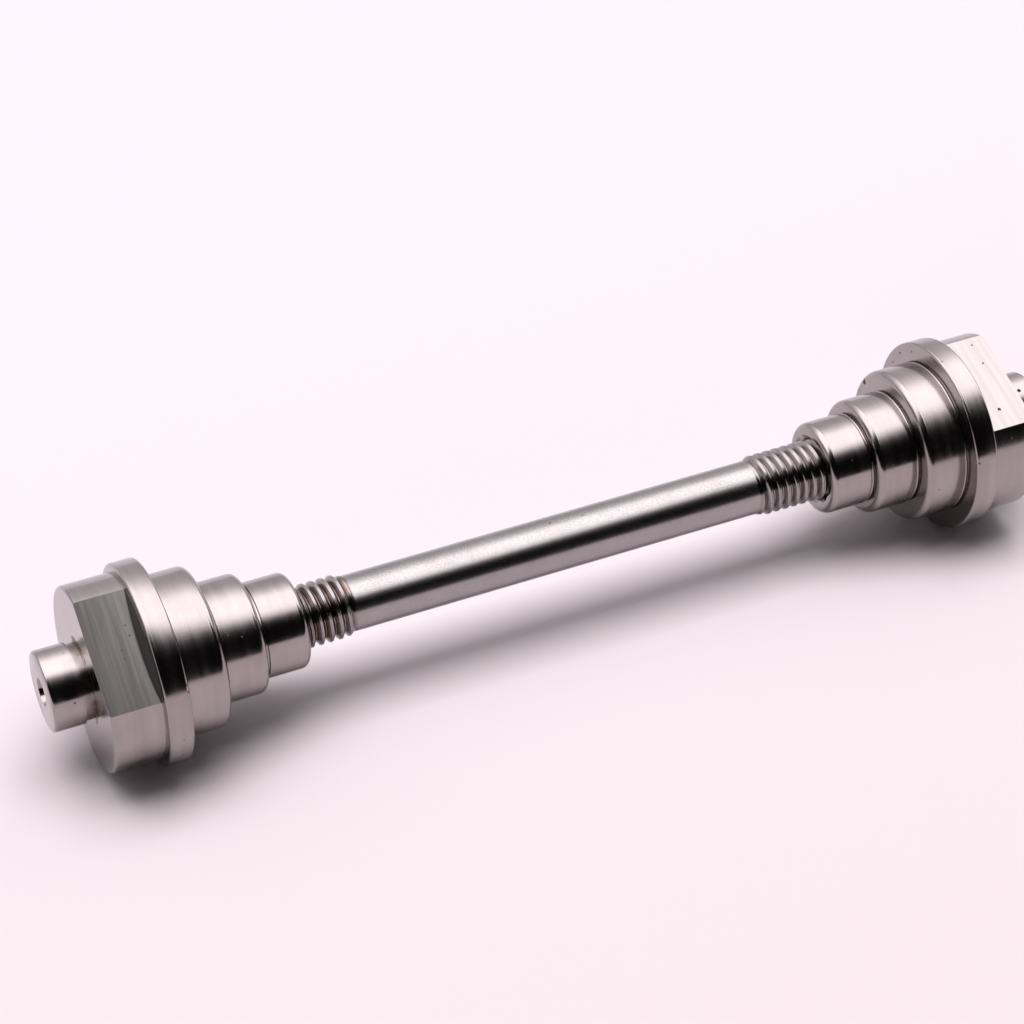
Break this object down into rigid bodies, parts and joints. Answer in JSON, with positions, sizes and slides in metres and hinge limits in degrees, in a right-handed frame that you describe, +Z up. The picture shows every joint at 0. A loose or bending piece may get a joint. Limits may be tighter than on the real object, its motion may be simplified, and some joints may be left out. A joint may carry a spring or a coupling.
{
  "type": "stepped hub arbor shaft",
  "caption": "Threaded rod with a stepped, flanged end piece screwed on each end, for holding thru-axle wheel hubs by their bearing bores between the jaws of a truing stand.",
  "frame": {"origin": "on the shaft's axis, midway between the inner faces of the two end pieces", "axes": "+X along the shaft towards the right end piece, +Z up, -Y towards the viewer; the shaft lies with its axis level"},
  "size_m": [0.1346, 0.025, 0.025],
  "materials": {
    "rod_steel": "satin turned stainless steel with rolled threads",
    "end_steel": "satin turned stainless steel with milled flats"
  },
  "bodies": {
    "rod": {"threaded_rod": "rod_steel"},
    "left_end": {"left_stepped_end": "end_steel"},
    "right_end": {"right_stepped_end": "end_steel"}
  },
  "joints": [
    {"name": "left_end_travel", "type": "slide", "parent": "rod", "child": "left_end", "axis": [-1, 0, 0], "range_m": [-0.0065, 0.007]},
    {"name": "right_end_travel", "type": "slide", "parent": "rod", "child": "right_end", "axis": [1, 0, 0], "range_m": [-0.009, 0.0045]}
  ]
}
